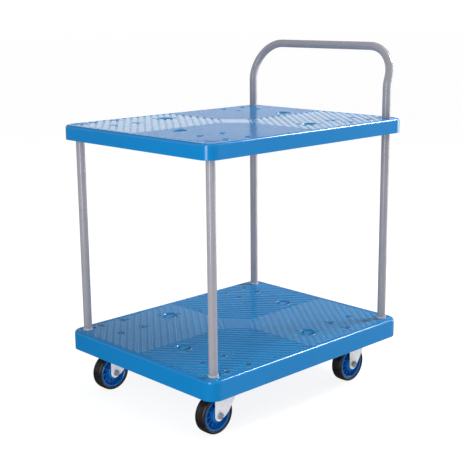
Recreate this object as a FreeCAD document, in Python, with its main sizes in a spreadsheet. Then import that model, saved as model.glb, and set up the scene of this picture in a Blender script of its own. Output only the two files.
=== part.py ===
import FreeCAD, Part
import math
import os
import re
import Sketcher

# Two-deck platform trolley, real size in millimetres.
# Row frame: origin on the floor under the middle of the decks, +Z up, +X towards the
# push handle, +Y towards the right hand of a person pushing from the handle end.

os.makedirs("parts", exist_ok=True)
doc = FreeCAD.newDocument("platform_trolley")
Vector = FreeCAD.Vector
Placement = FreeCAD.Placement

# ---------------------------------------------------------------- driving dimensions
SIZES = {
    # decks: two polypropylene mouldings of one pattern
    "deck_length": 710, "deck_width": 568, "deck_corner": 33,
    "lower_height": 50, "upper_height": 38, "lower_top": 168, "upper_top": 725,
    "deck_rim": 7, "deck_wall": 4, "deck_skin": 5, "inner_bevel": 10,
    "rib_depth": 24, "rib_width": 3, "rib_pitch": 61,
    "socket_wall": 8, "socket_depth": 26, "socket_lift": 4, "socket_gap": 0.15, "blind_roof": 6,
    "lock_slot_length": 6, "lock_slot_width": 12, "lock_slot_depth": 3, "lock_slot_inboard": 19,
    "dish_radius": 21, "dish_depth": 1.6, "dish_boss": 27, "dish_boss_depth": 10,
    "slot_far": 18, "slot_mid": 12, "slot_near": 9, "slot_half": 15, "slot_depth": 4.5,
    "dish_end_along": 232, "dish_end_across": 44, "dish_side_along": 81, "dish_side_across": 188,
    # posts and handle: 22 mm steel tube
    "tube_radius": 11, "tube_wall": 1.5, "post_inset_long": 36, "post_inset_cross": 34,
    "handle_height": 922, "handle_bend_height": 816, "handle_lean": 35,
    "handle_corner": 86, "handle_knee": 60,
    "collar_radius": 13.2, "collar_height": 7, "collar_seat": 2,
    "plug_radius": 9.4, "plug_length": 25,
    # fasteners
    "bolt_radius": 4, "bolt_gap": 0.1, "bolt_hole_gap": 0.3,
    "hex_corner": 7.5, "hex_height": 5.4, "nut_height": 6.4,
    "washer_radius": 8, "washer_height": 1.6, "bolt_tail": 2, "thread_overlap": 1,
    "plug_end_gap": 4, "dome_radius": 7, "dome_height": 2,
    "pin_hole_reach": 20, "deck_pin_radius": 3, "deck_pin_half": 18,
    # caster plates: a wide one on each swivel caster, a long one on each rigid caster
    "swivel_from_end": 118, "swivel_from_side": 77, "swivel_long": 100, "swivel_wide": 114,
    "swivel_bolts_long": 72, "swivel_bolts_wide": 87,
    "rigid_from_end": 130, "rigid_from_side": 75, "rigid_long": 108, "rigid_wide": 90,
    "rigid_bolts_long": 78, "rigid_bolts_wide": 61,
    "plate_thick": 4, "plate_corner": 10, "plate_top": 138, "pad_margin": 4,
    # wheels and their axles
    "wheel_radius": 50, "tyre_width": 32, "tyre_crown": 2.2, "tyre_foot": 41, "tyre_shoulder": 4.5,
    "tyre_crown_in": 1.6, "tyre_edge": 0.5, "tyre_edge_in": 4.5, "tyre_flat_in": 8,
    "hub_ring": 35.5, "hub_ring_width": 30, "hub_web": 6, "hub_boss": 19, "hub_boss_width": 36,
    "hub_rib_width": 2.4, "hub_rib_span": 20, "hub_rib_root": 1, "hub_ribs": 12,
    "bush_radius": 12, "sleeve_radius": 8, "run_gap": 0.05, "fit_gap": 0.02,
    "axle_radius": 5, "axle_head": 8.7, "axle_head_height": 5.5, "axle_nut_height": 5,
    "axle_washer": 10.5, "axle_washer_height": 1.3, "axle_tail": 1,
    # swivel fork (sheet steel) and its head
    "fork_inner": 19.5, "fork_sheet": 2.5, "fork_trail": 43, "fork_boss": 14,
    "fork_kink": 14, "fork_taper": 2.2, "fork_nose": 9, "fork_reach": 71,
    "fork_roof_low": 61.6, "fork_roof": 3,
    "race_radius": 27, "race_height": 5, "plate_race_radius": 24, "plate_race_height": 7.5,
    "fork_lip": 5, "fork_heel_along": 28, "fork_heel_low": 1,
    "fork_toe_along": 6.2, "fork_toe_low": 12.6,
    "pin_radius": 6, "pin_head": 10, "pin_head_height": 2.7, "pin_gap": 0.4, "end_gap": 0.5,
    "ball_radius": 3.2, "ball_circle": 18, "ball_count": 14,
    # rigid bracket
    "bracket_reach": 53, "bracket_roof_low": 81, "bracket_roof": 3, "bracket_front": 33.6,
    "bracket_shoulder": 24, "bracket_hip_low": 6, "bracket_hip_back": 2,
    "bracket_knee_along": 41, "bracket_knee_up": 32,
    "bracket_toe_along": 11.3, "bracket_toe_low": 8.3,
    # how far a cutting outline runs past what it cuts
    "overrun": 6,
}

sheet = doc.addObject("Spreadsheet::Sheet", "Sizes")
for row, (alias, value) in enumerate(SIZES.items(), start=1):
    sheet.set("A%d" % row, alias)
    sheet.set("B%d" % row, str(value))
    sheet.setAlias("B%d" % row, alias)
doc.recompute()


def size(alias):
    """Value of one cell of the sheet."""
    return float(sheet.get(alias))


def formula(text):
    """The same text with the sheet's name in front of each of its aliases."""
    return re.sub(r"[a-z_]+", lambda word: "Sizes." + word.group() if word.group() in SIZES
                  else word.group(), str(text))


def bind(item, path, text):
    item.setExpression(path, formula(text))


# ---------------------------------------------------------------- bodies and sketches
SUB_PARTS = []


def new_body(label):
    body = doc.addObject("PartDesign::Body", label)
    body.Label = label
    SUB_PARTS.append(body)
    return body


def new_sketch(body, plane, level="0"):
    """Sketch on one of the body's own origin planes, moved along its normal to level."""
    sketch = body.newObject("Sketcher::SketchObject", body.Name + "_sketch")
    role = next(item for item in body.Origin.OriginFeatures if item.Role == plane)
    sketch.AttachmentSupport = [(role, "")]
    sketch.MapMode = "FlatFace"
    bind(sketch, "AttachmentOffset.Base.z", level)
    return sketch


def fix(sketch, kind, where, text):
    """One constraint whose value follows the sheet."""
    index = sketch.addConstraint(Sketcher.Constraint(kind, *where, 1.0))
    bind(sketch, "Constraints[%d]" % index, text)


def polygon(sketch, corners):
    """Closed outline: each corner is a pair of formulas, its two sketch coordinates."""
    count = len(corners)
    ring = [Vector(math.cos(2 * math.pi * i / count), math.sin(2 * math.pi * i / count), 0)
            for i in range(count)]
    first = sketch.GeometryCount
    for i in range(count):
        sketch.addGeometry(Part.LineSegment(ring[i], ring[(i + 1) % count]), False)
    for i in range(count):
        following = first + (i + 1) % count
        sketch.addConstraint(Sketcher.Constraint("Coincident", first + i, 2, following, 1))
    for i, (across, up) in enumerate(corners):
        fix(sketch, "DistanceX", (first + i, 1), across)
        fix(sketch, "DistanceY", (first + i, 1), up)


def rectangle(sketch, middle_x, middle_y, half_x, half_y):
    west, east = "%s - (%s)" % (middle_x, half_x), "%s + (%s)" % (middle_x, half_x)
    south, north = "%s - (%s)" % (middle_y, half_y), "%s + (%s)" % (middle_y, half_y)
    polygon(sketch, [(west, south), (east, south), (east, north), (west, north)])


def circle(sketch, middle_x, middle_y, radius):
    start = Vector(sketch.GeometryCount + 1, 0, 0)
    index = sketch.addGeometry(Part.Circle(start, Vector(0, 0, 1), 0.4), False)
    fix(sketch, "DistanceX", (index, 3), middle_x)
    fix(sketch, "DistanceY", (index, 3), middle_y)
    fix(sketch, "Radius", (index,), radius)


def hexagon(sketch, middle_x, middle_y, corner):
    """Hexagon with two of its corners on the sketch's first axis."""
    half = math.sin(math.radians(60))
    turns = [(1, 0), (0.5, half), (-0.5, half), (-1, 0), (-0.5, -half), (0.5, -half)]
    polygon(sketch, [("%s + %.7f * %s" % (middle_x, right, corner),
                      "%s + %.7f * %s" % (middle_y, up, corner)) for right, up in turns])


def pad(sketch, length, back=False, middle=False):
    body = sketch.getParentGeoFeatureGroup()
    feature = body.newObject("PartDesign::Pad", body.Name + "_pad")
    feature.Profile = sketch
    bind(feature, "Length", length)
    feature.Reversed = back
    feature.Midplane = middle
    body.Tip = feature
    return feature


def pocket(sketch, length, back=False, middle=False):
    """Cut whose effect is checked, because one that points away from the solid is silent."""
    body = sketch.getParentGeoFeatureGroup()
    doc.recompute()
    before = body.Shape.Volume
    feature = body.newObject("PartDesign::Pocket", body.Name + "_pocket")
    feature.Profile = sketch
    bind(feature, "Length", length)
    feature.Reversed = back
    feature.Midplane = middle
    body.Tip = feature
    doc.recompute()
    if body.Shape.Volume > before - 1:
        raise RuntimeError("pocket cut nothing in " + body.Label)
    return feature


def revolve(sketch, axis="V_Axis"):
    body = sketch.getParentGeoFeatureGroup()
    feature = body.newObject("PartDesign::Revolution", body.Name + "_turned")
    feature.Profile = sketch
    feature.ReferenceAxis = (sketch, [axis])
    feature.Angle = 360
    body.Tip = feature
    return feature


def fillet(body, radius, wanted):
    """Round the edges of the body's last feature for which wanted(edge) is true."""
    doc.recompute()
    base = body.Tip
    names = ["Edge%d" % (i + 1) for i, edge in enumerate(base.Shape.Edges) if wanted(edge)]
    feature = body.newObject("PartDesign::Fillet", body.Name + "_round")
    feature.Base = (base, names)
    bind(feature, "Radius", radius)
    body.Tip = feature
    doc.recompute()
    return feature


def upright(edge):
    box = edge.BoundBox
    return box.XLength < 0.01 and box.YLength < 0.01


def at_height(level):
    def test(edge):
        box = edge.BoundBox
        return box.ZLength < 0.01 and abs(box.ZMin - level) < 0.01
    return test


CORNERS = [(end, side) for end in (-1, 1) for side in (-1, 1)]
END_NAMES = {-1: "front", 1: "rear"}
SIDE_NAMES = {-1: "left", 1: "right"}
POST_ALONG = "(deck_length / 2 - post_inset_long)"
POST_ACROSS = "(deck_width / 2 - post_inset_cross)"
KINDS = {-1: "swivel", 1: "rigid"}


def signed(sign, text):
    return "%d * %s" % (sign, text)


def plate_middle(end, side):
    """Middle of one caster's plate, as a pair of formulas."""
    return (signed(end, "(deck_length / 2 - %s_from_end)" % KINDS[end]),
            signed(side, "(deck_width / 2 - %s_from_side)" % KINDS[end]))


def plate_bolts(kind, middle_x, middle_y):
    """Middle of each of the four bolts of one caster plate."""
    for along in (-0.5, 0.5):
        for across in (-0.5, 0.5):
            yield ("%s + %.1f * %s_bolts_long" % (middle_x, along, kind),
                   "%s + %.1f * %s_bolts_wide" % (middle_y, across, kind))


def bolt_places():
    for end, side in CORNERS:
        yield from plate_bolts(KINDS[end], *plate_middle(end, side))


# ---------------------------------------------------------------- decks
DISHES = [("-dish_side_along", "dish_side_across"), ("dish_side_along", "-dish_side_across"),
          ("-dish_end_along", "-dish_end_across"), ("dish_end_along", "dish_end_across")]


def deck(label, top, height):
    """Tray moulding: skirt, ribbed underside, four post sockets and four caster pads."""
    body = new_body(label)
    bottom = "%s - %s" % (top, height)
    under_skin = "%s - deck_skin" % top
    plan = new_sketch(body, "XY_Plane", bottom)
    rectangle(plan, "0", "0", "deck_length / 2", "deck_width / 2")
    pad(plan, height)
    fillet(body, "deck_corner", upright)
    fillet(body, "deck_rim", at_height(size(top)))

    hollow = new_sketch(body, "XY_Plane", bottom)
    far_x, far_y = "(deck_length / 2 - deck_wall)", "(deck_width / 2 - deck_wall)"
    ring = []
    for sx, sy in ((-1, -1), (1, -1), (1, 1), (-1, 1)):
        along = (signed(sx, "(%s - %s)" % (far_x, "deck_corner")), signed(sy, far_y))
        bevel = (signed(sx, "(%s - inner_bevel)" % far_x),
                 signed(sy, "(%s - inner_bevel)" % far_y))
        across = (signed(sx, far_x), signed(sy, "(%s - %s)" % (far_y, "deck_corner")))
        ring += [across, bevel, along] if sx * sy > 0 else [along, bevel, across]
    polygon(hollow, ring)
    pocket(hollow, height + " - deck_skin", back=True)

    long_ribs = new_sketch(body, "XY_Plane", under_skin)
    for step in range(-4, 5):
        rectangle(long_ribs, "0", "%d * rib_pitch" % step, "deck_length / 2 - deck_wall / 2",
                  "rib_width / 2")
    pad(long_ribs, "rib_depth", back=True)
    cross_ribs = new_sketch(body, "XY_Plane", under_skin)
    for step in range(-5, 6):
        rectangle(cross_ribs, "%d * rib_pitch" % step, "0", "rib_width / 2",
                  "deck_width / 2 - deck_wall / 2")
    pad(cross_ribs, "rib_depth", back=True)

    pads = new_sketch(body, "XY_Plane", under_skin)
    for end, side in CORNERS:
        rectangle(pads, *plate_middle(end, side), KINDS[end] + "_long / 2 + pad_margin",
                  KINDS[end] + "_wide / 2 + pad_margin")
    pad(pads, "lower_top - deck_skin - plate_top", back=True)
    bosses = new_sketch(body, "XY_Plane", under_skin)
    for end, side in CORNERS:
        circle(bosses, signed(end, POST_ALONG), signed(side, POST_ACROSS), "tube_radius + socket_wall")
    pad(bosses, height + " - deck_skin - socket_lift", back=True)
    dish_bosses = new_sketch(body, "XY_Plane", under_skin)
    for along, across in DISHES:
        circle(dish_bosses, along, across, "dish_boss")
    pad(dish_bosses, "dish_boss_depth", back=True)

    dishes = new_sketch(body, "XY_Plane", top)
    for along, across in DISHES:
        circle(dishes, along, across, "dish_radius")
    pocket(dishes, "dish_depth")
    tie_slots = new_sketch(body, "XY_Plane", "%s - dish_depth" % top)
    for along, across in DISHES:
        middle = "%s - slot_mid" % along
        polygon(tie_slots, [(middle, "%s - slot_half" % across), ("%s - slot_far" % along, across),
                            (middle, "%s + slot_half" % across), ("%s - slot_near" % along, across)])
    pocket(tie_slots, "slot_depth")
    locks = new_sketch(body, "XY_Plane", top)
    for end, side in CORNERS:
        rectangle(locks, signed(end, "(%s - lock_slot_inboard)" % POST_ALONG),
                  signed(side, POST_ACROSS), "lock_slot_length / 2", "lock_slot_width / 2")
    pocket(locks, "lock_slot_depth")
    return body


lower_deck = deck("lower_deck", "lower_top", "lower_height")
seats = new_sketch(lower_deck, "XY_Plane", "lower_top")
for end, side in CORNERS:
    circle(seats, signed(end, POST_ALONG), signed(side, POST_ACROSS), "collar_radius + socket_gap")
pocket(seats, "collar_seat")
sockets = new_sketch(lower_deck, "XY_Plane", "lower_top")
for end, side in CORNERS:
    circle(sockets, signed(end, POST_ALONG), signed(side, POST_ACROSS), "tube_radius + socket_gap")
pocket(sockets, "socket_depth")
holes = new_sketch(lower_deck, "XY_Plane", "lower_top")
for end, side in CORNERS:
    circle(holes, signed(end, POST_ALONG), signed(side, POST_ACROSS), "bolt_radius + bolt_hole_gap")
for along, across in bolt_places():
    circle(holes, along, across, "bolt_radius + bolt_hole_gap")
pocket(holes, "lower_height")
bores = new_sketch(lower_deck, "XY_Plane", "lower_top")
for along, across in bolt_places():
    circle(bores, along, across, "dome_radius + bolt_hole_gap")
pocket(bores, "dome_height")

upper_deck = deck("upper_deck", "upper_top", "upper_height")
through = new_sketch(upper_deck, "XY_Plane", "upper_top")
for side in (-1, 1):
    circle(through, POST_ALONG, signed(side, POST_ACROSS), "tube_radius + socket_gap")
pocket(through, "upper_height")
blind = new_sketch(upper_deck, "XY_Plane", "upper_top - upper_height")
for side in (-1, 1):
    circle(blind, signed(-1, POST_ALONG), signed(side, POST_ACROSS), "tube_radius + socket_gap")
pocket(blind, "upper_height - blind_roof", back=True)
dimples = new_sketch(upper_deck, "XY_Plane", "upper_top")
for along, across in bolt_places():
    circle(dimples, along, across, "bolt_radius")
pocket(dimples, "dome_height")


def deck_pin_holes(body):
    """Cross holes for the pins that hold the upper deck to the four tubes."""
    for side in (-1, 1):
        sketch = new_sketch(body, "XZ_Plane", signed(side, POST_ACROSS))
        ends = (-1, 1) if body is upper_deck else (-1,)
        for end in ends:
            circle(sketch, signed(end, POST_ALONG), "upper_top - upper_height / 2",
                   "deck_pin_radius + bolt_gap")
        pocket(sketch, "2 * pin_hole_reach", middle=True)


deck_pin_holes(upper_deck)


# ---------------------------------------------------------------- posts and push handle
for side in (-1, 1):
    post = new_body("front_post_" + SIDE_NAMES[side])
    section = new_sketch(post, "XY_Plane", "lower_top - socket_depth")
    for radius in ("tube_radius", "tube_radius - tube_wall"):
        circle(section, signed(-1, POST_ALONG), signed(side, POST_ACROSS), radius)
    pad(section, "upper_top - blind_roof - end_gap - (lower_top - socket_depth)")
    cross_hole = new_sketch(post, "XZ_Plane", signed(-side, POST_ACROSS))
    circle(cross_hole, signed(-1, POST_ALONG), "upper_top - upper_height / 2",
           "deck_pin_radius + bolt_gap")
    pocket(cross_hole, "2 * pin_hole_reach", middle=True)


def bend(start, corner, end, radius):
    """Points where a tangent arc leaves and joins the runs start-corner-end, and its middle."""
    back = (start - corner).normalize()
    ahead = (end - corner).normalize()
    half = back.getAngle(ahead) / 2
    reach = radius / math.tan(half)
    inward = (back + ahead).normalize()
    centre = corner + inward * (radius / math.sin(half))
    return corner + back * reach, centre - inward * radius, corner + ahead * reach


def tube_along(corners, radii, radius):
    """Round bar that follows straight runs joined by tangent arcs."""
    edges = []
    here = corners[0]
    for before, corner, after, turn in zip(corners, corners[1:], corners[2:], radii):
        leave, middle, join = bend(before, corner, after, turn)
        edges.append(Part.LineSegment(here, leave).toShape())
        edges.append(Part.Arc(leave, middle, join).toShape())
        here = join
    edges.append(Part.LineSegment(here, corners[-1]).toShape())
    ring = Part.Wire(Part.Circle(corners[0], corners[1] - corners[0], radius).toShape())
    return Part.Wire(edges).makePipeShell([ring], True, True)


# The handle is one bent tube: two legs from the lower deck, an outward lean above the upper
# deck and a wide-cornered grip bar across the top.
leg_x = size("deck_length") / 2 - size("post_inset_long")
leg_y = size("deck_width") / 2 - size("post_inset_cross")
foot_z = size("lower_top") - size("socket_depth")
bar_x = leg_x + size("handle_lean")
bar_z = size("handle_height") - size("tube_radius")
handle_corners = [Vector(leg_x, -leg_y, foot_z), Vector(leg_x, -leg_y, size("handle_bend_height")),
                  Vector(bar_x, -leg_y, bar_z), Vector(bar_x, leg_y, bar_z),
                  Vector(leg_x, leg_y, size("handle_bend_height")), Vector(leg_x, leg_y, foot_z)]
handle_radii = [size("handle_knee"), size("handle_corner"), size("handle_corner"),
                size("handle_knee")]
outer = tube_along(handle_corners, handle_radii, size("tube_radius"))
inner = tube_along(handle_corners, handle_radii, size("tube_radius") - size("tube_wall"))
pin_reach = leg_y + size("deck_pin_half")
pin_start = Vector(leg_x, -pin_reach, size("upper_top") - size("upper_height") / 2)
pin_line = Part.makeCylinder(size("deck_pin_radius") + size("bolt_gap"), 2 * pin_reach, pin_start,
                             Vector(0, 1, 0))
handle = doc.addObject("Part::Feature", "handle_frame")
handle.Label = "handle_frame"
handle.Shape = outer.cut(inner).cut(pin_line)
SUB_PARTS.append(handle)

for end, side in CORNERS:
    collar = new_body("post_collar_%s_%s" % (END_NAMES[end], SIDE_NAMES[side]))
    ring = new_sketch(collar, "XY_Plane", "lower_top - collar_seat")
    for radius in ("collar_radius", "tube_radius + socket_gap"):
        circle(ring, signed(end, POST_ALONG), signed(side, POST_ACROSS), radius)
    pad(ring, "collar_height")


# ---------------------------------------------------------------- fasteners, one node a kind
def at_posts(label, steps):
    """Body with one solid at each post; steps are (outline, size, level, length, hole)."""
    fastener_group(label, [(signed(end, POST_ALONG), signed(side, POST_ACROSS))
                           for end, side in CORNERS], steps)


def at_plates(label, steps):
    fastener_group(label, list(bolt_places()), steps)


def fastener_group(label, places, steps):
    body = new_body(label)
    body.AllowCompound = True
    for outline, radius, level, length, hole in steps:
        sketch = new_sketch(body, "XY_Plane", level)
        for along, across in places:
            outline(sketch, along, across, radius)
            if hole:
                circle(sketch, along, across, hole)
        pad(sketch, length)
        doc.recompute()


BOSS_LOW = "(lower_top - lower_height + socket_lift)"
HEAD_LOW = "(%s - washer_height - hex_height)" % BOSS_LOW
NUT_LOW = "(plate_top - plate_thick - washer_height - nut_height)"
FOOT = "(lower_top - socket_depth)"
at_posts("tube_plugs", [(circle, "plug_radius", FOOT, "plug_length", "bolt_radius + bolt_gap")])
at_posts("post_bolts", [(hexagon, "hex_corner", HEAD_LOW, "hex_height", None),
                        (circle, "bolt_radius", HEAD_LOW + " + thread_overlap",
                         FOOT + " + plug_length - plug_end_gap - " + HEAD_LOW, None)])
at_posts("post_washers", [(circle, "washer_radius", "%s - washer_height" % BOSS_LOW,
                           "washer_height", "bolt_radius + bolt_gap")])
at_plates("caster_bolts", [(circle, "dome_radius", "lower_top - dome_height", "dome_height", None),
                           (circle, "bolt_radius", NUT_LOW + " - bolt_tail",
                            "lower_top - thread_overlap - (" + NUT_LOW + " - bolt_tail)", None)])
at_plates("caster_washers", [(circle, "washer_radius", "plate_top - plate_thick - washer_height",
                              "washer_height", "bolt_radius + bolt_gap")])
at_plates("caster_nuts", [(hexagon, "hex_corner", NUT_LOW, "nut_height",
                           "bolt_radius + bolt_gap")])
deck_pins = new_body("deck_pins")
deck_pins.AllowCompound = True
for side in (-1, 1):
    pin_ends = new_sketch(deck_pins, "XZ_Plane", signed(side, POST_ACROSS))
    for end in (-1, 1):
        circle(pin_ends, signed(end, POST_ALONG), "upper_top - upper_height / 2", "deck_pin_radius")
    pad(pin_ends, "2 * deck_pin_half", middle=True)


# ---------------------------------------------------------------- casters
# Every caster piece is drawn about its own wheel centre: X along the trolley, Y the axle.
def place_caster_part(body, end, side, height="wheel_radius"):
    along, across = plate_middle(end, side)
    bind(body, "Placement.Base.x", along + (" - fork_trail" if end < 0 else ""))
    bind(body, "Placement.Base.y", across)
    bind(body, "Placement.Base.z", height)


def pressed_legs(body, side_view, reach, roof_low, roof):
    """Two sheet-steel legs with a rear nose, cut out of one folded outline."""
    half = "(fork_inner + fork_sheet)"
    legs = new_sketch(body, "XZ_Plane")
    polygon(legs, side_view)
    pad(legs, "2 * " + half, middle=True)
    boss = new_sketch(body, "XZ_Plane")
    circle(boss, "0", "0", "fork_boss")
    pad(boss, "2 * " + half, middle=True)
    gap = new_sketch(body, "XY_Plane", "-fork_boss - overrun")
    rear = "(%s - fork_nose)" % reach
    front = "-bracket_front - overrun"
    polygon(gap, [(front, "-fork_inner"), ("fork_kink", "-fork_inner"),
                  (rear, "fork_taper - fork_inner"), ("%s - fork_sheet" % reach, "-fork_nose"),
                  ("%s - fork_sheet" % reach, "fork_nose"), (rear, "fork_inner - fork_taper"),
                  ("fork_kink", "fork_inner"), (front, "fork_inner")])
    pocket(gap, "fork_boss + overrun + " + roof_low, back=True)
    trims = new_sketch(body, "XY_Plane", "-fork_boss - overrun")
    for side in (-1, 1):
        polygon(trims, [("fork_kink", signed(side, half)),
                        (rear, signed(side, "(%s - fork_taper)" % half)),
                        (reach, signed(side, "(fork_nose + fork_sheet)")),
                        (reach + " + overrun", signed(side, "(fork_nose + fork_sheet)")),
                        (reach + " + overrun", signed(side, "(%s + overrun)" % half)),
                        ("fork_kink", signed(side, "(%s + overrun)" % half))])
    pocket(trims, "fork_boss + overrun + %s + %s" % (roof_low, roof), back=True)
    bore = new_sketch(body, "XZ_Plane")
    circle(bore, "0", "0", "axle_radius + bolt_gap")
    pocket(bore, "2 * %s + overrun" % half, middle=True)


def plate_with_holes(body, kind, middle_x, level):
    plate = new_sketch(body, "XY_Plane", level)
    rectangle(plate, middle_x, "0", kind + "_long / 2", kind + "_wide / 2")
    pad(plate, "plate_thick")
    doc.recompute()
    top = body.Shape.BoundBox.ZMax - body.Placement.Base.z
    fillet(body, "plate_corner", lambda edge: upright(edge) and edge.BoundBox.ZMax > top - 0.1
           and abs(edge.BoundBox.YMax) > size(kind + "_wide") / 2 - 1)
    holes = new_sketch(body, "XY_Plane", level)
    for along, across in plate_bolts(kind, middle_x, "0"):
        circle(holes, along, across, "bolt_radius + bolt_hole_gap")
    pocket(holes, "plate_thick", back=True)


PLATE_LEVEL = "(plate_top - plate_thick - wheel_radius)"
ROOF_TOP = "(fork_roof_low + fork_roof)"
FORK_VIEW = [("-fork_boss", "0"), ("-fork_boss", ROOF_TOP), ("fork_reach", ROOF_TOP),
             ("fork_reach", "fork_roof_low - fork_lip"), ("fork_heel_along", "-fork_heel_low"),
             ("fork_toe_along", "-fork_toe_low")]
BRACKET_TOP = "(bracket_roof_low + bracket_roof)"
BRACKET_VIEW = [("-fork_boss", "0"), ("-fork_boss", "bracket_roof_low - bracket_shoulder"),
                ("-bracket_front", BRACKET_TOP), ("bracket_reach", BRACKET_TOP),
                ("bracket_reach - bracket_hip_back", "bracket_roof_low - bracket_hip_low"),
                ("bracket_knee_along", "bracket_knee_up"), ("bracket_toe_along", "-bracket_toe_low")]


def swivel_head(name, end, side):
    """Top plate, king pin and ball ring; the fork hangs from the pin and turns about it."""
    top_plate = new_body(name + "top_plate")
    plate_with_holes(top_plate, "swivel", "fork_trail", PLATE_LEVEL)
    race = new_sketch(top_plate, "XY_Plane", PLATE_LEVEL)
    circle(race, "fork_trail", "0", "plate_race_radius")
    pad(race, "plate_race_height", back=True)
    seat = new_sketch(top_plate, "XY_Plane", PLATE_LEVEL + " - plate_race_height")
    circle(seat, "fork_trail", "0", "pin_radius + fit_gap")
    pocket(seat, "plate_race_height + plate_thick", back=True)
    place_caster_part(top_plate, end, side)

    pin = new_body(name + "king_pin")
    head = new_sketch(pin, "XY_Plane", "fork_roof_low - pin_gap - pin_head_height")
    circle(head, "fork_trail", "0", "pin_head")
    pad(head, "pin_head_height")
    shank = new_sketch(pin, "XY_Plane", "fork_roof_low - pin_gap - thread_overlap")
    circle(shank, "fork_trail", "0", "pin_radius")
    pad(shank, "plate_top - wheel_radius - end_gap - (fork_roof_low - pin_gap - thread_overlap)")
    place_caster_part(pin, end, side)

    balls = doc.addObject("Part::Compound", name + "ball_ring")
    balls.Label = name + "ball_ring"
    links = []
    for index in range(int(size("ball_count"))):
        turn = "(360 * %d / ball_count)" % index
        ball = doc.addObject("Part::Sphere", name + "ball")
        bind(ball, "Radius", "ball_radius")
        bind(ball, "Placement.Base.x", "fork_trail + ball_circle * cos%s" % turn)
        bind(ball, "Placement.Base.y", "ball_circle * sin%s" % turn)
        bind(ball, "Placement.Base.z", ROOF_TOP + " + race_height + ball_radius")
        links.append(ball)
    balls.Links = links
    place_caster_part(balls, end, side)
    SUB_PARTS.append(balls)


def swivel_fork(name, end, side):
    fork = new_body(name + "fork")
    pressed_legs(fork, FORK_VIEW, "fork_reach", "fork_roof_low", "fork_roof")
    race = new_sketch(fork, "XY_Plane", "fork_roof_low + fork_roof")
    circle(race, "fork_trail", "0", "race_radius")
    pad(race, "race_height")
    seat = new_sketch(fork, "XY_Plane", "fork_roof_low - overrun")
    circle(seat, "fork_trail", "0", "pin_radius + run_gap")
    pocket(seat, "fork_roof + race_height + 2 * overrun", back=True)
    place_caster_part(fork, end, side)


def rigid_bracket(name, end, side):
    bracket = new_body(name + "bracket")
    pressed_legs(bracket, BRACKET_VIEW, "bracket_reach", "bracket_roof_low", "bracket_roof")
    plate_with_holes(bracket, "rigid", "0", PLATE_LEVEL)
    place_caster_part(bracket, end, side)


def ring_about_axle(label, end, side, radii, level, length, outward=1):
    """Ring or rod along Y; level and length run along the axle, away from the trolley."""
    body = new_body(label)
    sketch = new_sketch(body, "XZ_Plane", signed(-side * outward, "(%s)" % level))
    for outline, radius in radii:
        outline(sketch, "0", "0", radius)
    pad(sketch, length, back=side * outward > 0)
    place_caster_part(body, end, side)
    return body, sketch


LEG_FACE = "(fork_inner + fork_sheet)"
for end, side in CORNERS:
    name = "%s_%s_" % (END_NAMES[end], SIDE_NAMES[side])
    if end < 0:
        swivel_head(name, end, side)
        swivel_fork(name, end, side)
    else:
        rigid_bracket(name, end, side)
    hole = (circle, "axle_radius + bolt_gap")
    ring_about_axle(name + "axle_sleeve", end, side, [(circle, "sleeve_radius"), hole],
                    "-fork_inner", "2 * fork_inner")
    washer_face = LEG_FACE + " + axle_washer_height"
    ring_about_axle(name + "axle_washer", end, side, [(circle, "axle_washer"), hole],
                    LEG_FACE, "axle_washer_height", outward=-1)
    ring_about_axle(name + "axle_nut", end, side, [(hexagon, "axle_head"), hole],
                    washer_face, "axle_nut_height", outward=-1)
    axle, shank = ring_about_axle(
        name + "axle_bolt", end, side, [(circle, "axle_radius")],
        "-(%s + axle_nut_height + axle_tail)" % washer_face,
        "2 * %s + axle_washer_height + axle_nut_height + axle_tail + thread_overlap" % LEG_FACE)
    head = new_sketch(axle, "XZ_Plane", signed(-side, LEG_FACE))
    hexagon(head, "0", "0", "axle_head")
    pad(head, "axle_head_height", back=side > 0)

    hub = new_body(name + "wheel_hub")
    profile = new_sketch(hub, "XY_Plane")
    inside, rim = "bush_radius + fit_gap", "tyre_foot - fit_gap"
    outline = [(inside, "hub_boss_width"), ("hub_boss", "hub_boss_width"), ("hub_boss", "hub_web"),
               ("hub_ring", "hub_web"), ("hub_ring", "hub_ring_width"), (rim, "hub_ring_width")]
    polygon(profile, [(radius, "-%s / 2" % width) for radius, width in outline]
            + [(radius, "%s / 2" % width) for radius, width in reversed(outline)])
    revolve(profile)
    rib = new_sketch(hub, "XZ_Plane")
    rectangle(rib, "(hub_boss + hub_ring) / 2", "0", "(hub_ring - hub_boss) / 2 + hub_rib_root",
              "hub_rib_width / 2")
    rib_pad = pad(rib, "hub_rib_span", middle=True)
    ribs = hub.newObject("PartDesign::PolarPattern", hub.Name + "_ribs")
    ribs.Originals = [rib_pad]
    ribs.Axis = (rib, ["N_Axis"])
    ribs.Angle = 360
    bind(ribs, "Occurrences", "hub_ribs")
    hub.Tip = ribs
    place_caster_part(hub, end, side)

    tyre = new_body(name + "tyre")
    section = new_sketch(tyre, "XY_Plane")
    half_tread = "tyre_width / 2"
    outline = [("tyre_foot", "hub_ring_width / 2"), ("wheel_radius - tyre_shoulder", half_tread),
               ("wheel_radius - tyre_crown", half_tread + " - tyre_crown_in"),
               ("wheel_radius - tyre_edge", half_tread + " - tyre_edge_in"),
               ("wheel_radius", half_tread + " - tyre_flat_in")]
    polygon(section, [(radius, "-(%s)" % width) for radius, width in outline]
            + [(radius, width) for radius, width in reversed(outline)])
    revolve(section)
    place_caster_part(tyre, end, side)
    ring_about_axle(name + "wheel_bush", end, side,
                    [(circle, "bush_radius"), (circle, "sleeve_radius + run_gap")],
                    "-hub_boss_width / 2", "hub_boss_width")

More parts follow.
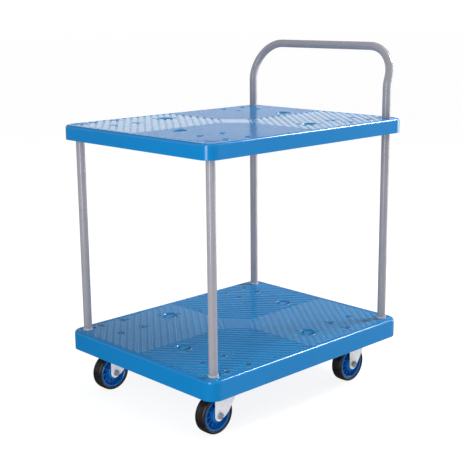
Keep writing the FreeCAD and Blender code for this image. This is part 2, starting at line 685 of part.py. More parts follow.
# ---------------------------------------------------------------- check and write
doc.recompute()
failed = [item.Label for item in doc.Objects if "Invalid" in item.State or "Error" in item.State]
for part in SUB_PARTS:
    if part.Shape.isNull() or not part.Shape.isValid() or not part.Shape.Solids:
        failed.append(part.Label)
if failed:
    raise RuntimeError("failed: " + ", ".join(failed))
for part in SUB_PARTS:
    part.Shape.exportStep(os.path.join("parts", part.Label + ".step"))
    box = part.Shape.BoundBox
    print("%-28s %2d solids %10.1f mm3  x %7.1f %7.1f  y %7.1f %7.1f  z %6.1f %6.1f" % (
        part.Label, len(part.Shape.Solids), part.Shape.Volume, box.XMin, box.XMax, box.YMin,
        box.YMax, box.ZMin, box.ZMax))
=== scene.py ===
import math

import bmesh
import bpy
from mathutils import Matrix, Quaternion, Vector


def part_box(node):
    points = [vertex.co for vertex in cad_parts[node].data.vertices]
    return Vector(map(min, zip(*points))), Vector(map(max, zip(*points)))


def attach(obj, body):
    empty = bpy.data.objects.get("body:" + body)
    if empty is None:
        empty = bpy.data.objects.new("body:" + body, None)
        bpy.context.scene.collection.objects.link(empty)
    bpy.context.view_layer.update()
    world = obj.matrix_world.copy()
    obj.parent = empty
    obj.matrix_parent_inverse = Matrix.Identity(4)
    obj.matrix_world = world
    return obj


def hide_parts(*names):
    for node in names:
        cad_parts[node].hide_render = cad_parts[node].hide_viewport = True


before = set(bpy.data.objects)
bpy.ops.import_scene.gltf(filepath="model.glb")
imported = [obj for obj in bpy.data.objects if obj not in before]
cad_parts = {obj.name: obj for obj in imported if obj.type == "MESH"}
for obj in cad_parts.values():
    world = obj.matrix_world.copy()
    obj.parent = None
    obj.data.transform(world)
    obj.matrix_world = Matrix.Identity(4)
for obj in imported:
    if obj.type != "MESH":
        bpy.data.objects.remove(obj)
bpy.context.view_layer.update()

MM = 0.001


# ------------------------------------------------------------------ the two deck mouldings
# Each deck is one tray of injection-moulded polypropylene: a skirt with a rounded rim, a top
# with raised anti-slip ribs in four quarters round a plain middle lozenge, four tie dishes, a
# ring round each caster bolt, and a honeycomb of stiffening ribs underneath.
def linear(colour):
    """sRGB hex string to the linear RGBA that shaders want."""
    parts = [int(colour[i:i + 2], 16) / 255 for i in (1, 3, 5)]
    return tuple(p / 12.92 if p <= 0.04045 else ((p + 0.055) / 1.055) ** 2.4
                 for p in parts) + (1.0,)


def add(tree, kind, settings=None, **inputs):
    """One shader node: its settings, then each input as a value or as a socket to link."""
    made = tree.nodes.new("ShaderNode" + kind)
    for key, value in (settings or {}).items():
        setattr(made, key, value)
    for key, value in inputs.items():
        socket = made.inputs[int(key[1:])] if key[1:].isdigit() else made.inputs[
            key.replace("_", " ")]
        if isinstance(value, bpy.types.NodeSocket):
            tree.links.new(value, socket)
        else:
            socket.default_value = value
    return made


def new_material(name):
    material = bpy.data.materials.new(name)
    material.use_nodes = True
    tree = material.node_tree
    tree.nodes.clear()
    shader = add(tree, "BsdfPrincipled")
    output = add(tree, "OutputMaterial", Surface=shader.outputs[0])
    output.location = (400, 0)
    return material, tree, shader


def moulded_polypropylene(name, colour, shade, smooth, rough):
    """Moulded polypropylene: glossy and saturated, with faintly cloudy colour, shallow sink
    marks, a fine mould grain and light scuffs."""
    material, tree, shader = new_material(name)
    place = add(tree, "TexCoord").outputs["Object"]
    clouds = add(tree, "TexNoise", Vector=place, Scale=1 / (180 * MM), Detail=2.0)
    tint = add(tree, "MixRGB", {"blend_type": "MIX"}, Fac=clouds.outputs["Fac"],
               Color1=linear(colour), Color2=linear(shade))
    tree.links.new(tint.outputs[0], shader.inputs["Base Color"])
    scuffs = add(tree, "TexNoise", Vector=place, Scale=1 / (25 * MM), Detail=6.0, Roughness=0.65)
    gloss = add(tree, "MapRange", Value=scuffs.outputs["Fac"], From_Min=0.35, From_Max=0.75,
                To_Min=smooth, To_Max=rough)
    tree.links.new(gloss.outputs[0], shader.inputs["Roughness"])
    grain = add(tree, "TexNoise", Vector=place, Scale=1 / (1.6 * MM), Detail=2.0)
    sink = add(tree, "TexNoise", Vector=place, Scale=1 / (60 * MM), Detail=1.0)
    waves = add(tree, "Bump", Strength=0.2, Distance=0.6 * MM, Height=sink.outputs["Fac"])
    relief = add(tree, "Bump", Strength=0.12, Distance=0.08 * MM, Height=grain.outputs["Fac"],
                 Normal=waves.outputs[0])
    tree.links.new(relief.outputs[0], shader.inputs["Normal"])
    shader.inputs["IOR"].default_value = 1.49  # polypropylene
    shader.inputs["Specular IOR Level"].default_value = 0.45
    return material


def make_piece(name, shape, body, material, crease=32):
    """Turns a bmesh into a smooth-shaded object that rides on one body. Edges that fold by
    more than crease degrees stay sharp."""
    for face in shape.faces:
        face.smooth = True
    for edge in shape.edges:
        edge.smooth = edge.is_manifold and edge.calc_face_angle(0) < math.radians(crease)
    mesh = bpy.data.meshes.new(name)
    shape.to_mesh(mesh)
    shape.free()
    mesh.materials.append(material)
    made = bpy.data.objects.new(name, mesh)
    bpy.context.scene.collection.objects.link(made)
    made.modifiers.new("face_weights", "WEIGHTED_NORMAL").keep_sharp = True
    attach(made, body)
    return made


def box_in(shape, low, high):
    """Closed block between two corners; returns its vertices."""
    low, high = Vector(low), Vector(high)
    place = Matrix.Translation((low + high) / 2) @ Matrix.Diagonal((*(high - low), 1))
    return bmesh.ops.create_cube(shape, size=1, matrix=place)["verts"]


EASE = 0.7 * MM


def ring_in(shape, centre, inner, outer, low, high, segments=32):
    """Closed ring or, with no inner radius, a disc, with its axis along Z and its top eased."""
    made = bmesh.ops.create_circle(shape, cap_ends=False, radius=outer, segments=segments,
                                   matrix=Matrix.Translation((*centre, low)))
    around = list({e for v in made["verts"] for e in v.link_edges})
    steps = [(outer, high - EASE), (outer - EASE, high)]
    steps += [(inner + EASE, high), (inner, high - EASE), (inner, low)] if inner else []
    now = around
    for radius, level in steps:
        grown = bmesh.ops.extrude_edge_only(shape, edges=now)["geom"]
        verts = [g for g in grown if isinstance(g, bmesh.types.BMVert)]
        now = [g for g in grown if isinstance(g, bmesh.types.BMEdge)
               and all(v in verts for v in g.verts)]
        for vert in verts:
            flat = Vector((vert.co.x - centre[0], vert.co.y - centre[1]))
            flat = flat.normalized() * radius
            vert.co = Vector((centre[0] + flat.x, centre[1] + flat.y, level))
    if inner:
        bmesh.ops.bridge_loops(shape, edges=around + now)
    else:
        bmesh.ops.edgeloop_fill(shape, edges=now)
        bmesh.ops.edgeloop_fill(shape, edges=around)


deck_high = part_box("lower_deck")[1]
HALF_X, HALF_Y = deck_high.x, deck_high.y
CORNER, RIM, RIM_STEPS, LAND = 33 * MM, 7 * MM, 8, 5 * MM
WALL, SKIN, DRAFT, FIELD_SLOPE = 4 * MM, 5 * MM, 0.4 * MM, 1.4 * MM
RIB_PITCH, RIB_BASE, RIB_TOP, RIB_TALL = 18.0 * MM, 12.6 * MM, 10.2 * MM, 1.1 * MM
RIB_ROOT, PLAIN_ROOT, RING_ROOT = 0.5 * MM, 0.4 * MM, MM  # how deep each is sunk in the field
RIB_MARGIN, RIB_GAP, SHORTEST_RIB = 3 * MM, 0.4 * MM, 4 * MM
PLAIN_END, PLAIN_SIDE = 46 * MM, 38.5 * MM
DISH_RADIUS, DISH_RING, DISH_DEEP, DISH_NARROWS = 21 * MM, 25 * MM, 1.8 * MM, 0.93
DISHES = [(-81 * MM, 188 * MM), (81 * MM, -188 * MM),
          (-232 * MM, -44 * MM), (232 * MM, 44 * MM)]
CRESCENT_RADIUS, CRESCENT_EDGE, CRESCENT_HOLLOW = 0.8 * DISH_RADIUS, -3 * MM, 0.35
CRESCENT_DEEP, CRESCENT_NARROWS = 16 * MM, 0.9
post_low, post_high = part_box("front_post_right")
POST_X, POST_Y = -(post_low.x + post_high.x) / 2, (post_low.y + post_high.y) / 2
POST_BORE, POST_RING, POST_CLEAR, SOCKET = 12 * MM, 15 * MM, 17 * MM, 19 * MM
SLOT_AWAY, SLOT_HALF_X, SLOT_HALF_Y, SLOT_DEEP = 19 * MM, 3 * MM, 6 * MM, 6 * MM
PLATES = {-1: (HALF_X - 118 * MM, HALF_Y - 77 * MM, 72 * MM, 87 * MM),
          1: (HALF_X - 130 * MM, HALF_Y - 75 * MM, 78 * MM, 61 * MM)}
BOLT_BORE, BOLT_RING = 7.4 * MM, 10 * MM
PAD_EDGE, PAD_DEEP = 18 * MM, 34 * MM
COMB_PITCH, COMB_HALF, COMB_DEEP = 61 * MM, 1.5 * MM, 24 * MM
CORNERS = [(end, side) for end in (-1, 1) for side in (-1, 1)]
BOLTS = [(end * PLATES[end][0] + a * PLATES[end][2], side * PLATES[end][1] + b * PLATES[end][3])
         for end, side in CORNERS for a in (-0.5, 0.5) for b in (-0.5, 0.5)]
POSTS = [(end * POST_X, side * POST_Y) for end, side in CORNERS]


def free_spans(low, high, blocks):
    """What is left of low..high once each (start, stop) block is taken out of it."""
    spans = [(low, high)]
    for start, stop in blocks:
        left = []
        for a, b in spans:
            left += [(a, min(b, start)), (max(a, stop), b)]
        spans = [(a, b) for a, b in left if b - a > SHORTEST_RIB]
    return spans


def rib_direction(lean):
    """Ribs stand square to the deck's diagonal; lean is 1 or -1 for the side they lean to."""
    return Vector((HALF_Y, lean * HALF_X)).normalized()


def tread_quarter(shape, sign_x, sign_y, lean, top):
    """Ribs of one quarter, cut to its bounds and kept clear of dishes, bolts and tubes."""
    forward = rib_direction(lean)
    across = Vector((-forward.y, forward.x))
    quarter = bmesh.new()
    start = PLAIN_SIDE if lean > 0 else PLAIN_END
    sign = 1 if across.dot(Vector((sign_x, sign_y))) > 0 else -1
    reach = HALF_X + HALF_Y
    for step in range(math.ceil(reach / RIB_PITCH)):
        offset = sign * (start + (step + 0.5) * RIB_PITCH)
        blocks = []
        for spots, radius in ((DISHES, DISH_RING - 2 * MM), (BOLTS, BOLT_RING - 2 * MM),
                              (POSTS, POST_CLEAR)):
            for x, y in spots:
                spot = Vector((x, y))
                near = max(0.0, abs(spot.dot(across) - offset) - RIB_BASE / 2)
                if near < radius:
                    half = math.sqrt(radius ** 2 - near ** 2)
                    blocks.append((spot.dot(forward) - half, spot.dot(forward) + half))
        for a, b in free_spans(-reach, reach, blocks):
            verts = box_in(quarter, (a, -RIB_BASE / 2, -RIB_TALL - RIB_ROOT),
                           (b, RIB_BASE / 2, 0))
            for vert in verts:
                if vert.co.z > -RIB_TALL / 2:
                    vert.co.y *= RIB_TOP / RIB_BASE
            lie = Matrix(((forward.x, across.x, 0, across.x * offset),
                          (forward.y, across.y, 0, across.y * offset),
                          (0, 0, 1, top), (0, 0, 0, 1)))
            bmesh.ops.transform(quarter, matrix=lie, verts=verts)
    edge_x = HALF_X - RIM - LAND - RIB_MARGIN
    edge_y = HALF_Y - RIM - LAND - RIB_MARGIN
    cuts = [((sign_x * edge_x, 0, 0), (sign_x, 0, 0)),
            ((sign_x * RIB_GAP, 0, 0), (-sign_x, 0, 0)),
            ((0, sign_y * edge_y, 0), (0, sign_y, 0)),
            ((0, sign_y * RIB_GAP, 0), (0, -sign_y, 0))]
    for point, normal in cuts:
        geometry = quarter.verts[:] + quarter.edges[:] + quarter.faces[:]
        bmesh.ops.bisect_plane(quarter, geom=geometry, plane_co=point, plane_no=normal,
                               clear_outer=True)
        bmesh.ops.holes_fill(quarter, edges=[e for e in quarter.edges if e.is_boundary])
    crest = [e for e in quarter.edges if all(abs(v.co.z - top) < 0.01 * MM for v in e.verts)]
    bmesh.ops.bevel(quarter, geom=crest, offset=EASE, segments=2, profile=0.5,
                    affect="EDGES", material=-1)
    part = bpy.data.meshes.new("quarter")
    quarter.to_mesh(part)
    quarter.free()
    shape.from_mesh(part)
    bpy.data.meshes.remove(part)


def loop_edges(verts):
    """Every edge that runs between two of these vertices."""
    inside = set(verts)
    return list({e for v in verts for e in v.link_edges if all(w in inside for w in e.verts)})


def sink_loop(shape, edges, depth, scale=1.0):
    """Extrudes a loop straight down, a little narrower if asked; returns the new edges."""
    grown = bmesh.ops.extrude_edge_only(shape, edges=edges)["geom"]
    verts = [g for g in grown if isinstance(g, bmesh.types.BMVert)]
    middle = sum((v.co for v in verts), Vector()) / len(verts)
    for vert in verts:
        vert.co = middle + (vert.co - middle) * scale - Vector((0, 0, depth))
    return loop_edges(verts)


def deck_moulding(name, node):
    """One tray, from its skirt and rim to its tread, rings and underside."""
    shape = bmesh.new()
    bottom, top = (corner.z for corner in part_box(node))
    tall, field = top - bottom, top - RIB_TALL
    plan = bmesh.ops.create_grid(shape, x_segments=1, y_segments=1, size=1,
                                 matrix=Matrix.Translation((0, 0, bottom)))["verts"]
    for vert in plan:
        vert.co.x = math.copysign(HALF_X, vert.co.x)
        vert.co.y = math.copysign(HALF_Y, vert.co.y)
    bmesh.ops.bevel(shape, geom=plan, offset=CORNER, offset_type="OFFSET", segments=14,
                    profile=0.5, affect="VERTICES", material=-1)
    grown = bmesh.ops.extrude_face_region(shape, geom=shape.faces[:],
                                          use_keep_orig=True)["geom"]
    lid = [g for g in grown if isinstance(g, bmesh.types.BMFace)]
    lid_verts = list({v for f in lid for v in f.verts})
    bmesh.ops.translate(shape, verts=lid_verts, vec=(0, 0, tall - RIM))
    bmesh.ops.recalc_face_normals(shape, faces=shape.faces[:])
    for step in range(RIM_STEPS):
        a, b = (math.pi / 2 * (step + i) / RIM_STEPS for i in (0, 1))
        bmesh.ops.inset_region(shape, faces=lid, thickness=RIM * (math.cos(a) - math.cos(b)),
                               depth=RIM * (math.sin(b) - math.sin(a)), use_even_offset=True)
    bmesh.ops.inset_region(shape, faces=lid, thickness=LAND, depth=0, use_even_offset=True)
    bmesh.ops.inset_region(shape, faces=lid, thickness=FIELD_SLOPE, depth=-RIB_TALL,
                           use_even_offset=True)
    under = [f for f in shape.faces
             if f.normal.z < -0.9 and f.calc_center_median().z < bottom + MM]
    bmesh.ops.inset_region(shape, faces=under, thickness=WALL, depth=0, use_even_offset=True)
    bmesh.ops.inset_region(shape, faces=under, thickness=DRAFT, depth=-(tall - SKIN),
                           use_even_offset=True)

    outline = list(lid[0].edges)
    bmesh.ops.delete(shape, geom=lid, context="FACES_ONLY")
    loops = []
    for x, y in DISHES:
        verts = bmesh.ops.create_circle(shape, cap_ends=False, radius=DISH_RADIUS, segments=40,
                                        matrix=Matrix.Translation((x, y, field)))["verts"]
        loops.append(loop_edges(verts))
    slots = []
    for x, y in POSTS:
        place = Matrix.Translation((x - math.copysign(SLOT_AWAY, x), y, field))
        stretch = Matrix.Diagonal((SLOT_HALF_X, SLOT_HALF_Y, 1, 1))
        verts = bmesh.ops.create_grid(shape, x_segments=1, y_segments=1, size=1,
                                      matrix=place @ stretch)["verts"]
        edges = loop_edges(verts)
        bmesh.ops.delete(shape, geom=list({f for v in verts for f in v.link_faces}),
                         context="FACES_ONLY")
        slots.append(edges)
    every = outline + [e for loop in loops + slots for e in loop]
    filled = bmesh.ops.triangle_fill(shape, edges=every, use_beauty=True, use_dissolve=False,
                                     normal=(0, 0, 1))["geom"]
    # The top field between the ribs takes the second material. Its greener, lighter tint is
    # painted sheen; its rougher grain is real.
    for face in filled:
        if isinstance(face, bmesh.types.BMFace):
            face.material_index = 1
    for loop in slots:
        bmesh.ops.edgeloop_fill(shape, edges=sink_loop(shape, loop, SLOT_DEEP))
    for (x, y), loop in zip(DISHES, loops):
        basin = sink_loop(shape, loop, DISH_DEEP, DISH_NARROWS)
        verts = bmesh.ops.create_circle(shape, cap_ends=False, radius=CRESCENT_RADIUS,
                                        segments=32)["verts"]
        for vert in verts:
            past = vert.co.x - CRESCENT_EDGE
            if past > 0:
                vert.co.x = CRESCENT_EDGE - CRESCENT_HOLLOW * past
        place = Matrix.Translation((x, y, field - DISH_DEEP))
        bmesh.ops.transform(shape, matrix=place @ Matrix.Rotation(-math.pi / 4, 4, "Z"),
                            verts=verts)
        crescent = loop_edges(verts)
        bmesh.ops.triangle_fill(shape, edges=basin + crescent, use_beauty=True,
                                use_dissolve=False, normal=(0, 0, 1))
        pit = sink_loop(shape, crescent, CRESCENT_DEEP, CRESCENT_NARROWS)
        bmesh.ops.edgeloop_fill(shape, edges=pit)
    bmesh.ops.recalc_face_normals(shape, faces=shape.faces[:])

    for end, side in CORNERS:
        tread_quarter(shape, end, side, -end * side, top)
    fall, rise, valley = rib_direction(-1), rib_direction(1), (RIB_PITCH - RIB_BASE) / 2
    skew = abs(fall.cross(rise))
    reach, half = (PLAIN_SIDE - valley) / skew, (PLAIN_END - valley) / skew
    plain = box_in(shape, (-reach, -half, -RIB_TALL - PLAIN_ROOT), (reach, half, 0))
    lie = Matrix(((fall.x, rise.x, 0, 0), (fall.y, rise.y, 0, 0), (0, 0, 1, top), (0, 0, 0, 1)))
    bmesh.ops.transform(shape, verts=plain, matrix=lie)
    for spots, inner, outer, level, segments in (
            (DISHES, DISH_RADIUS, DISH_RING, top, 40),
            (BOLTS, BOLT_BORE, BOLT_RING, top - 0.2 * MM, 24),
            (POSTS, POST_BORE, POST_RING, top - 0.1 * MM, 32)):
        for spot in spots:
            ring_in(shape, spot, inner, outer, field - RING_ROOT, level, segments)

    under_skin, low_rib = top - SKIN + MM, top - SKIN - COMB_DEEP
    for step in range(-4, 5):
        box_in(shape, (WALL - HALF_X, step * COMB_PITCH - COMB_HALF, low_rib),
               (HALF_X - WALL, step * COMB_PITCH + COMB_HALF, under_skin))
    for step in range(-5, 6):
        box_in(shape, (step * COMB_PITCH - COMB_HALF, WALL - HALF_Y, low_rib),
               (step * COMB_PITCH + COMB_HALF, HALF_Y - WALL, under_skin))
    for end, side in CORNERS:
        along, across, bolts_long, bolts_wide = PLATES[end]
        middle = Vector((end * along, side * across, 0))
        spread = Vector((bolts_long / 2 + PAD_EDGE, bolts_wide / 2 + PAD_EDGE, 0))
        box_in(shape, middle - spread + Vector((0, 0, top - PAD_DEEP)),
               middle + spread + Vector((0, 0, under_skin)))
        ring_in(shape, (end * POST_X, side * POST_Y), 0, SOCKET, bottom + 2 * MM, under_skin)
    piece = make_piece(name, shape, "chassis", polypropylene)
    piece.data.materials.append(grained_top_with_painted_sheen)
    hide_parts(node)


polypropylene = moulded_polypropylene("moulded_blue_polypropylene", "#006DAA", "#0074B2",
                                      0.14, 0.19)
# The top field's rougher grain is real; its greener, lighter tint is painted sheen of the tops.
grained_top_with_painted_sheen = moulded_polypropylene("grained_blue_polypropylene_painted_sheen", "#007AA8", "#0081B0", 0.2, 0.3)
deck_moulding("lower_tray", "lower_deck")
deck_moulding("upper_tray", "upper_deck")


# ------------------------------------------------------------------ posts and push handle
# Two plain posts and one bent handle, all of 22 mm steel tube with a satin grey powder coat.
# The handle's legs rise from the lower tray, pass through the upper one, lean out a little
# and turn through two round corners into the grip bar.
def powder_coat(name, colour, shade):
    """Powder-coated steel: an even grey sheen over the faint orange peel of baked powder."""
    material, tree, shader = new_material(name)
    place = add(tree, "TexCoord").outputs["Object"]
    wear = add(tree, "TexNoise", Vector=place, Scale=1 / (45 * MM), Detail=4.0)
    tint = add(tree, "MixRGB", {"blend_type": "MIX"}, Fac=wear.outputs["Fac"],
               Color1=linear(colour), Color2=linear(shade))
    tree.links.new(tint.outputs[0], shader.inputs["Base Color"])
    gloss = add(tree, "MapRange", Value=wear.outputs["Fac"], From_Min=0.3, From_Max=0.7,
                To_Min=0.12, To_Max=0.20)
    tree.links.new(gloss.outputs[0], shader.inputs["Roughness"])
    peel = add(tree, "TexNoise", Vector=place, Scale=1 / (1.8 * MM), Detail=1.0)
    relief = add(tree, "Bump", Strength=0.25, Distance=0.12 * MM, Height=peel.outputs["Fac"])
    tree.links.new(relief.outputs[0], shader.inputs["Normal"])
    shader.inputs["IOR"].default_value = 1.55
    return material


def grow(shape, edges, vector):
    """Extrudes a loop of edges by a vector; returns the loop at the new end."""
    grown = bmesh.ops.extrude_edge_only(shape, edges=edges)["geom"]
    verts = [g for g in grown if isinstance(g, bmesh.types.BMVert)]
    bmesh.ops.translate(shape, verts=verts, vec=vector)
    return loop_edges(verts)


def bend(shape, edges, centre, axis, angle, steps):
    """Spins a loop of edges round an axis; returns the loop at the new end."""
    verts = list({v for e in edges for v in e.verts})
    made = bmesh.ops.spin(shape, geom=verts + edges, cent=centre, axis=axis, dvec=(0, 0, 0),
                          angle=angle, steps=steps, use_merge=False, use_duplicate=False)
    return [g for g in made["geom_last"] if isinstance(g, bmesh.types.BMEdge)]


coat = powder_coat("satin_grey_powder_coat", "#8A8991", "#95959D")
TUBE = (post_high.x - post_low.x) / 2
for side in ("left", "right"):
    low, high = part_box("front_post_" + side)
    shape = bmesh.new()
    foot = Vector(((low.x + high.x) / 2, (low.y + high.y) / 2, low.z))
    verts = bmesh.ops.create_circle(shape, cap_ends=True, radius=TUBE, segments=48,
                                    matrix=Matrix.Translation(foot))["verts"]
    end = grow(shape, loop_edges(verts), (0, 0, high.z - low.z))
    bmesh.ops.edgeloop_fill(shape, edges=end)
    bmesh.ops.recalc_face_normals(shape, faces=shape.faces[:])
    post = make_piece("post_" + side, shape, "chassis", coat)
    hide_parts("front_post_" + side)

handle_low, handle_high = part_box("handle_frame")
CORNER_TURN, KNEE_TURN, CORNER_STEPS, KNEE_STEPS = 86 * MM, 60 * MM, 20, 6
KNEE_HIGH, OVERHANG = 816 * MM, 35 * MM
rise = handle_high.z - TUBE - KNEE_HIGH
lean = math.atan2(OVERHANG, rise)
leg_up = Vector((math.sin(lean), 0, math.cos(lean)))
knee_reach = KNEE_TURN * math.tan(lean / 2)
upright = KNEE_HIGH - knee_reach - handle_low.z
straight = rise / math.cos(lean) - knee_reach - CORNER_TURN
knee_axis, corner_axis = Vector((0, 1, 0)), Vector((-math.cos(lean), 0, math.sin(lean)))
knee_x, knee_z = POST_X + KNEE_TURN, KNEE_HIGH - knee_reach
leg_end = Vector((POST_X, 0, KNEE_HIGH)) + leg_up * (knee_reach + straight)
corner_out = Vector((0, POST_Y - CORNER_TURN, 0))
shape = bmesh.new()
foot = Vector((POST_X, -POST_Y, handle_low.z))
verts = bmesh.ops.create_circle(shape, cap_ends=True, radius=TUBE, segments=48,
                                matrix=Matrix.Translation(foot))["verts"]
loop = grow(shape, loop_edges(verts), (0, 0, upright))
loop = bend(shape, loop, (knee_x, -POST_Y, knee_z), knee_axis, lean, KNEE_STEPS)
loop = grow(shape, loop, leg_up * straight)
loop = bend(shape, loop, leg_end - corner_out, corner_axis, math.pi / 2, CORNER_STEPS)
loop = grow(shape, loop, 2 * corner_out)
loop = bend(shape, loop, leg_end + corner_out, corner_axis, math.pi / 2, CORNER_STEPS)
loop = grow(shape, loop, -leg_up * straight)
loop = bend(shape, loop, (knee_x, POST_Y, knee_z), knee_axis, -lean, KNEE_STEPS)
loop = grow(shape, loop, (0, 0, -upright))
bmesh.ops.edgeloop_fill(shape, edges=loop)
bmesh.ops.recalc_face_normals(shape, faces=shape.faces[:])
handle = make_piece("push_handle", shape, "chassis", coat)
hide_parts("handle_frame")


# ------------------------------------------------------------------ post collars
# A pale moulded nylon ferrule, pushed down over each tube, closes the gap where the tube
# enters the lower tray. The wheels' bushes are of the same nylon.
def moulded_nylon(name, colour, shade):
    """Moulded nylon: half matt and a little milky."""
    material, tree, shader = new_material(name)
    place = add(tree, "TexCoord").outputs["Object"]
    clouds = add(tree, "TexNoise", Vector=place, Scale=1 / (8 * MM), Detail=3.0)
    tint = add(tree, "MixRGB", {"blend_type": "MIX"}, Fac=clouds.outputs["Fac"],
               Color1=linear(colour), Color2=linear(shade))
    tree.links.new(tint.outputs[0], shader.inputs["Base Color"])
    relief = add(tree, "Bump", Strength=0.2, Distance=0.1 * MM, Height=clouds.outputs["Fac"])
    tree.links.new(relief.outputs[0], shader.inputs["Normal"])
    shader.inputs["Roughness"].default_value = 0.42
    return material


def finish_nodes(names, material):
    """Gives carried-over CAD pieces their real finish."""
    for name in names:
        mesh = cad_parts[name].data
        mesh.materials.clear()
        mesh.materials.append(material)


nylon = moulded_nylon("pale_grey_nylon", "#B4B6BF", "#A9ABB4")
finish_nodes([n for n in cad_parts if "collar" in n or "bush" in n], nylon)


# ------------------------------------------------------------------ wheels
# Each wheel is a black rubber tyre, moulded with four shallow tread grooves, on a blue
# polypropylene hub: a raised rim, a dished web with twelve ribs a side, and a long boss
# that turns on a nylon bush and a steel sleeve.
def tyre_rubber(name):
    """Carbon-black rubber: dull and dark, with grey-brown dust and a fine moulded skin."""
    material, tree, shader = new_material(name)
    place = add(tree, "TexCoord").outputs["Object"]
    dust = add(tree, "TexNoise", Vector=place, Scale=1 / (14 * MM), Detail=5.0, Roughness=0.6)
    ramp = add(tree, "MapRange", Value=dust.outputs["Fac"], From_Min=0.42, From_Max=0.72,
               To_Min=0.0, To_Max=0.8)
    tint = add(tree, "MixRGB", {"blend_type": "MIX"}, Fac=ramp.outputs[0],
               Color1=linear("#0F0F10"), Color2=linear("#2E2926"))
    tree.links.new(tint.outputs[0], shader.inputs["Base Color"])
    gloss = add(tree, "MapRange", Value=dust.outputs["Fac"], From_Min=0.3, From_Max=0.7,
                To_Min=0.30, To_Max=0.46)
    tree.links.new(gloss.outputs[0], shader.inputs["Roughness"])
    skin = add(tree, "TexNoise", Vector=place, Scale=1 / (1.2 * MM), Detail=2.0)
    relief = add(tree, "Bump", Strength=0.3, Distance=0.12 * MM, Height=skin.outputs["Fac"])
    tree.links.new(relief.outputs[0], shader.inputs["Normal"])
    return material


def turned(shape, centre, half, steps):
    """Spins half a profile and its mirror image, as (radius, along) points, round an axle."""
    profile = half + [(radius, -along) for radius, along in reversed(half)]
    verts = [shape.verts.new(centre + Vector((radius, along, 0))) for radius, along in profile]
    edges = [shape.edges.new(pair) for pair in zip(verts, verts[1:])]
    edges.append(shape.edges.new((verts[-1], verts[0])))
    bmesh.ops.spin(shape, geom=verts + edges, cent=centre, axis=(0, 1, 0), dvec=(0, 0, 0),
                   angle=2 * math.pi, steps=steps, use_merge=True, use_duplicate=False)


def caster_place(end, side):
    """Start of a caster's names, and the middle of its wheel."""
    caster = "%s_%s_" % ("front" if end < 0 else "rear", "left" if side < 0 else "right")
    low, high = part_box(caster + "tyre")
    return caster, (low + high) / 2


rubber = tyre_rubber("black_tyre_rubber")
hub_blue = moulded_polypropylene("moulded_blue_hub", "#00559F", "#0060AE", 0.14, 0.26)
TYRE_HALF, RADIUS, BEAD, SHOULDER, SHOULDER_STEPS = 16 * MM, 50 * MM, 41 * MM, 4.5 * MM, 4
GROOVES, GROOVE_DEEP, GROOVE_TOP, GROOVE_FLOOR = (8 * MM, 3 * MM), 1.5 * MM, 1.1 * MM, 0.6 * MM
HUB_PROFILE = [(12.02, 18), (17.8, 18), (19, 16.8), (20.5, 6), (22, 4), (33.5, 4), (35.2, 6),
               (35.8, 13.6), (37, 15), (40, 15), (40.9, 14)]  # radius and along, in mm
SPOKES, SPOKE_HALF, SPOKE_THIN = 12, 1.3 * MM, 0.7
SPOKE_IN, SPOKE_OUT = 19 * MM, 36 * MM
SPOKE_ROOT, SPOKE_TALL, SPOKE_FALL = 3 * MM, 11 * MM, 3.5 * MM
for end, side in CORNERS:
    caster, centre = caster_place(end, side)
    half = [(BEAD, 14.6 * MM), (BEAD + 1.2 * MM, 15.4 * MM), (RADIUS - 5 * MM, TYRE_HALF)]
    for step in range(SHOULDER_STEPS + 1):
        angle = math.pi / 2 * step / SHOULDER_STEPS
        half.append((RADIUS - 0.4 * MM - SHOULDER + SHOULDER * math.sin(angle),
                     TYRE_HALF - SHOULDER + SHOULDER * math.cos(angle)))
    for middle in GROOVES:
        half += [(RADIUS - 0.2 * MM, middle + GROOVE_TOP),
                 (RADIUS - GROOVE_DEEP, middle + GROOVE_FLOOR),
                 (RADIUS - GROOVE_DEEP, middle - GROOVE_FLOOR),
                 (RADIUS, middle - GROOVE_TOP)]
    shape = bmesh.new()
    turned(shape, centre, half, 120)
    bmesh.ops.recalc_face_normals(shape, faces=shape.faces[:])
    tyre = make_piece(caster + "tyre_moulding", shape, caster + "wheel",
                      rubber, 40)
    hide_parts(caster + "tyre")

    shape = bmesh.new()
    turned(shape, centre, [(radius * MM, along * MM) for radius, along in HUB_PROFILE], 96)
    for face in (-1, 1):
        for index in range(SPOKES):
            verts = box_in(shape, (SPOKE_IN, SPOKE_ROOT, -SPOKE_HALF),
                           (SPOKE_OUT, SPOKE_TALL, SPOKE_HALF))
            for vert in verts:
                if vert.co.y > 5 * MM:
                    vert.co.z *= SPOKE_THIN
                    vert.co.y -= SPOKE_FALL if vert.co.x > 30 * MM else 0
            spin = Matrix.Rotation(2 * math.pi * index / SPOKES, 4, "Y")
            place = Matrix.Translation(centre) @ spin @ Matrix.Diagonal((1, face, 1, 1))
            bmesh.ops.transform(shape, matrix=place, verts=verts)
    bmesh.ops.recalc_face_normals(shape, faces=shape.faces[:])
    hub = make_piece(caster + "hub_moulding", shape, caster + "wheel",
                     hub_blue)
    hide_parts(caster + "wheel_hub")


